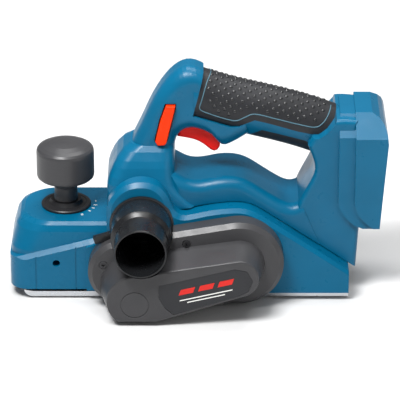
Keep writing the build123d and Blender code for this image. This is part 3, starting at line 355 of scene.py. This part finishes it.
def grip_pips(label, side, tree):
    bm = bmesh.new()
    for row in range(PIP_ROWS):
        angle = math.radians(PIP_FIRST_ANGLE + row * PIP_ANGLE_SPAN / (PIP_ROWS - 1))
        # odd rows are staggered by half a pitch
        distance = PIP_START + (PIP_PITCH / 2 if row % 2 else 0.0)
        while distance < PIP_END:
            add_pip(bm, tree, side, distance, angle)
            distance += PIP_PITCH
    add_detail("grip_pips_" + label, bm, "pip")


def grip_line(label, side, tree):
    """The groove, as a thin tube laid along the grip's side; its light blue-grey colour is a
    painted highlight along the groove's edge, on black rubber.
    """
    points = []
    for x, z in smooth_line(GROOVE_LINE, GROOVE_STEPS):
        start = place(x, side * GROOVE_RAY_Y, z)
        hit, normal, _, _ = tree.ray_cast(start, Vector((0, -side, 0)))
        if hit is not None:
            points.append(hit + (normal if normal.y * side > 0 else -normal) * GROOVE_LIFT)
    # too few hits on the grip make no line
    if len(points) > 3:
        bm = bmesh.new()
        tube(bm, points, GROOVE_RADIUS)
        # the tube carries the painted highlight colour of the groove's edge
        add_detail("grip_line_" + label, bm, "groove_highlight")


for side, label in ((-1, "left"), (1, "right")):
    grip_tree = tree_of("grip_" + label)
    grip_pips(label, side, grip_tree)
    grip_line(label, side, grip_tree)


# ------------------------------------------------------------------ depth marks on the deck
KNOB_X = -57.5                  # mm
DIGIT_RADIUS = 24.6             # mm from the knob's axis
DIGIT_SIZE = 0.0046
DIGIT_HALF_DEPTH = 0.00012
DIGITS = (("1", 13), ("0", -56))  # text, bearing in degrees
TICK_INNER = 22.4               # mm from the knob's axis
TICKS = ((-4, 25.6), (-19, 24.8), (-34, 24.8))  # bearing in degrees, outer radius in mm
TICK_HALF_WIDTH = 0.75 / 2000
TICK_SINK, TICK_RISE = -0.0002, 0.00018
DECK_RAY_Z = 0.075
DECK_Z = 0.0634                 # deck height where the ray finds nothing

deck_tree = tree_of("base_body")


def deck_point(radius, bearing):
    """Point on the deck at this radius and bearing from the knob's axis."""
    angle = math.radians(bearing)
    point = place(KNOB_X + radius * math.cos(angle), radius * math.sin(angle), 0)
    hit = deck_tree.ray_cast(Vector((point.x, point.y, DECK_RAY_Z)), Vector((0, 0, -1)))[0]
    return Vector((point.x, point.y, hit.z if hit is not None else DECK_Z))


def add_digit(bm, text, bearing):
    """Flat raised text standing on the deck."""
    curve = bpy.data.curves.new("digit", "FONT")
    curve.body = text
    curve.size = DIGIT_SIZE
    curve.extrude = DIGIT_HALF_DEPTH
    curve.align_x = "CENTER"
    curve.align_y = "CENTER"
    curve.resolution_u = 3
    holder = bpy.data.objects.new("digit", curve)
    bpy.context.scene.collection.objects.link(holder)
    bpy.context.view_layer.update()
    depsgraph = bpy.context.evaluated_depsgraph_get()
    mesh = bpy.data.meshes.new_from_object(holder.evaluated_get(depsgraph))
    centre = deck_point(DIGIT_RADIUS, bearing) + Vector((0, 0, DIGIT_HALF_DEPTH))
    mesh.transform(Matrix.Translation(centre))
    bpy.data.objects.remove(holder)
    # weld the text's faces and sides into one skin
    digit = bmesh.new()
    digit.from_mesh(mesh)
    bmesh.ops.remove_doubles(digit, verts=digit.verts, dist=1e-6)
    digit.to_mesh(mesh)
    digit.free()
    bm.from_mesh(mesh)
    bpy.data.meshes.remove(mesh)


def add_tick(bm, bearing, outer):
    angle = math.radians(bearing)
    across = Vector((-math.sin(angle), math.cos(angle), 0)) * TICK_HALF_WIDTH
    near, far = deck_point(TICK_INNER, bearing), deck_point(outer, bearing)
    corners = (near - across, far - across, far + across, near + across)
    prism(bm, *([corner + Vector((0, 0, dz)) for corner in corners]
                for dz in (TICK_SINK, TICK_RISE)))


bm = bmesh.new()
for text, bearing in DIGITS:
    add_digit(bm, text, bearing)
for bearing, outer in TICKS:
    add_tick(bm, bearing, outer)
add_detail("depth_marks", bm, "mark", smooth=False)


# ------------------------------------------------------------------ stripes on the cover's panel
# All in mm.
STRIPE_SLOPE = 0.235            # rise to the rear
STRIPE_LEAN = 0.35              # slant of the ends
STRIPE_PIVOT_X = 58             # where a stripe has its given height
PANEL_Y = -91.86                # inner face of every stripe
RED_PITCH, RED_LENGTH = 15.5, 11.5
# front x, rear x, middle z, stripe height
RED_STRIPES = [(x, x + RED_LENGTH, 33.6, 5.0) for x in (36 + k * RED_PITCH for k in range(3))]
PALE_STRIPES = [(36, 78, 26.4, 0.9), (42, 72, 23.6, 0.9)]


def stripes(name, rows, outer_y, material):
    """Sloping bars on the panel, out to outer_y."""
    bm = bmesh.new()
    for x0, x1, middle, height in rows:
        half = height / 2
        shift = half * STRIPE_LEAN
        z0, z1 = (middle + (x - STRIPE_PIVOT_X) * STRIPE_SLOPE for x in (x0, x1))
        outline = [(x0 - shift, z0 - half), (x1 - shift, z1 - half),
                   (x1 + shift, z1 + half), (x0 + shift, z0 + half)]
        prism(bm, *([place(x, y, z) for x, z in outline] for y in (PANEL_Y, outer_y)))
    add_detail(name, bm, material, smooth=False)


stripes("cover_stripes_red", RED_STRIPES, outer_y=-92.02, material="stripe_red")
stripes("cover_stripes_pale", PALE_STRIPES, outer_y=-92.0, material="mark")


# ------------------------------------------------------------------ stage, light and camera
def make_floor(half=6, z=-0.002, cells=24):
    material = surface("floor", (212, 212, 212), rough=0.8, grain=200, bump=0.0, var=0.01)
    bm = bmesh.new()
    ticks = [-half + 2 * half * i / cells for i in range(cells + 1)]
    rows = [[bm.verts.new((x, y, z)) for x in ticks] for y in ticks]
    for row, following in zip(rows, rows[1:]):
        for i in range(cells):
            bm.faces.new((row[i], row[i + 1], following[i + 1], following[i]))
    mesh_object("floor_plane", bm, material)


def make_world(light_strength, seen_strength):
    """White surroundings, dimmer as light than as the camera sees them."""
    world = bpy.data.worlds.new("studio")
    bpy.context.scene.world = world
    world.use_nodes = True
    nodes, link = world.node_tree.nodes, world.node_tree.links.new
    light = nodes["Background"]
    seen = nodes.new("ShaderNodeBackground")
    for background, strength in ((light, light_strength), (seen, seen_strength)):
        background.inputs["Color"].default_value = (1, 1, 1, 1)
        background.inputs["Strength"].default_value = strength
    path = nodes.new("ShaderNodeLightPath")
    mixer = nodes.new("ShaderNodeMixShader")
    link(path.outputs["Is Camera Ray"], mixer.inputs[0])
    link(light.outputs[0], mixer.inputs[1])
    link(seen.outputs[0], mixer.inputs[2])
    link(mixer.outputs[0], nodes["World Output"].inputs[0])


def aim(obj, target):
    obj.rotation_euler = (target - obj.location).to_track_quat("-Z", "Y").to_euler()


def area(name, location, size, power):
    """A rectangular lamp aimed at the planer and hidden from the camera."""
    light = bpy.data.lights.new(name, "AREA")
    light.shape = "RECTANGLE"
    light.size, light.size_y = size
    light.energy = power
    obj = bpy.data.objects.new(name, light)
    bpy.context.scene.collection.objects.link(obj)
    obj.location = location
    aim(obj, Vector((0, 0, 0.08)))
    obj.visible_camera = False


def make_camera(target, distance, elevation, view_width):
    """A camera on the belt side that sees view_width metres across at the target."""
    data = bpy.data.cameras.new("camera")
    data.sensor_width = 36
    data.lens = 36 * distance / view_width
    data.clip_end = 20
    obj = bpy.data.objects.new("camera", data)
    bpy.context.scene.collection.objects.link(obj)
    obj.location = target + Vector((0, -math.cos(elevation), math.sin(elevation))) * distance
    aim(obj, target)
    bpy.context.scene.camera = obj


make_floor()
make_world(light_strength=0.24, seen_strength=1.0)
area("key", location=(-0.5, -0.7, 1.5), size=(0.6, 0.45), power=34)
area("fill", location=(1.3, -1.1, 0.7), size=(1.0, 1.0), power=4)
area("top", location=(0.1, 0.5, 1.7), size=(1.2, 0.8), power=22)
area("brow", location=(0.1, -0.75, 1.9), size=(1.1, 0.18), power=10)
make_camera(Vector((-0.0421, 0.0, 0.0672)), distance=2.38, elevation=math.radians(25),
            view_width=0.328)
bpy.context.scene.view_settings.view_transform = "Standard"
